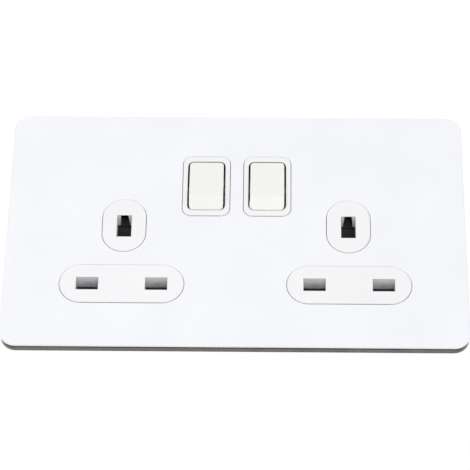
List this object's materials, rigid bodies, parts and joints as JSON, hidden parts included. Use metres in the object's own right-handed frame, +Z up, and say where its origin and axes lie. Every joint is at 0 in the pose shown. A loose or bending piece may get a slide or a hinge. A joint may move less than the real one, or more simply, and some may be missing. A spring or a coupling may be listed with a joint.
{
  "type": "twin wall socket outlet",
  "caption": "Flat screwless two-gang wall socket outlet with rocker switches, sliding pin shutters, brass contacts and rear conductor terminals.",
  "frame": {"origin": "middle of the cover's outline on the wall plane, which is also the middle of the two wall fixing holes", "axes": "+X to the right as seen from the front, +Y into the wall, +Z up"},
  "size_m": [0.1494, 0.0299, 0.0896],
  "materials": {
    "cover_paint": "smooth satin white paint on steel sheet",
    "clear_rim": "clear, slightly smoky moulding",
    "frame_plastic": "plain moulded back of the face",
    "white_moulding": "glossy white thermoset moulding",
    "rocker_moulding": "glossy, slightly warm white moulding",
    "rear_moulding": "matt white moulding",
    "shutter_plastic": "dark self-coloured moulding",
    "plunger_plastic": "natural low-friction moulding",
    "brass": "stamped and extruded brass",
    "plated_steel": "zinc-plated steel"
  },
  "bodies": {
    "socket": {"cover_plate": "cover_paint", "clip_frame": "clear_rim", "mounting_frame": "frame_plastic", "switch_housing": "white_moulding", "neutral_strip": "brass", "line_feed": "brass", "earth_strap": "brass", "outlet_left": "white_moulding", "outlet_right": "white_moulding", "return_spring_left": "plated_steel", "return_spring_right": "plated_steel", "line_contact_left": "brass", "line_contact_right": "brass", "terminal_neutral": "brass", "terminal_line": "brass", "terminal_earth_left": "brass", "terminal_earth_right": "brass", "terminal_screws": "plated_steel", "housing_screws": "plated_steel", "rear_housing": "rear_moulding"},
    "rocker_left": {"rocker_left": "rocker_moulding"},
    "plunger_left": {"plunger_left": "plunger_plastic", "rocker_spring_left": "plated_steel"},
    "moving_contact_left": {"moving_contact_left": "brass"},
    "shutter_left": {"shutter_left": "shutter_plastic"},
    "rocker_right": {"rocker_right": "rocker_moulding"},
    "plunger_right": {"plunger_right": "plunger_plastic", "rocker_spring_right": "plated_steel"},
    "moving_contact_right": {"moving_contact_right": "brass"},
    "shutter_right": {"shutter_right": "shutter_plastic"}
  },
  "joints": [
    {"name": "rocker_left_tilt", "type": "hinge", "parent": "socket", "child": "rocker_left", "pos_m": [-0.01003, -0.0006, 0.0166], "axis": [1, 0, 0], "range_deg": [0, 14]},
    {"name": "moving_contact_left_tilt", "type": "hinge", "parent": "socket", "child": "moving_contact_left", "pos_m": [-0.01003, 0.01205, 0.0166], "axis": [1, 0, 0], "range_deg": [-12.02, 0]},
    {"name": "plunger_left_slide", "type": "slide", "parent": "rocker_left", "child": "plunger_left", "axis": [0, -0.9925, 0.1219], "range_m": [0, 0.001], "stiffness_N_per_m": 300, "springref_m": -0.001},
    {"name": "shutter_left_slide", "type": "slide", "parent": "socket", "child": "shutter_left", "axis": [0, 0, 1], "range_m": [0, 0.0067], "stiffness_N_per_m": 120, "springref_m": -0.004, "deforming": ["return_spring_left"]},
    {"name": "rocker_right_tilt", "type": "hinge", "parent": "socket", "child": "rocker_right", "pos_m": [0.01003, -0.0006, 0.0166], "axis": [1, 0, 0], "range_deg": [0, 14]},
    {"name": "moving_contact_right_tilt", "type": "hinge", "parent": "socket", "child": "moving_contact_right", "pos_m": [0.01003, 0.01205, 0.0166], "axis": [1, 0, 0], "range_deg": [-12.02, 0]},
    {"name": "plunger_right_slide", "type": "slide", "parent": "rocker_right", "child": "plunger_right", "axis": [0, -0.9925, 0.1219], "range_m": [0, 0.001], "stiffness_N_per_m": 300, "springref_m": -0.001},
    {"name": "shutter_right_slide", "type": "slide", "parent": "socket", "child": "shutter_right", "axis": [0, 0, 1], "range_m": [0, 0.0067], "stiffness_N_per_m": 120, "springref_m": -0.004, "deforming": ["return_spring_right"]}
  ],
  "couplings": [
    {"joint": "moving_contact_left_tilt", "follows": "rocker_left_tilt", "ratio": -0.85714},
    {"joint": "moving_contact_right_tilt", "follows": "rocker_right_tilt", "ratio": -0.85714}
  ]
}
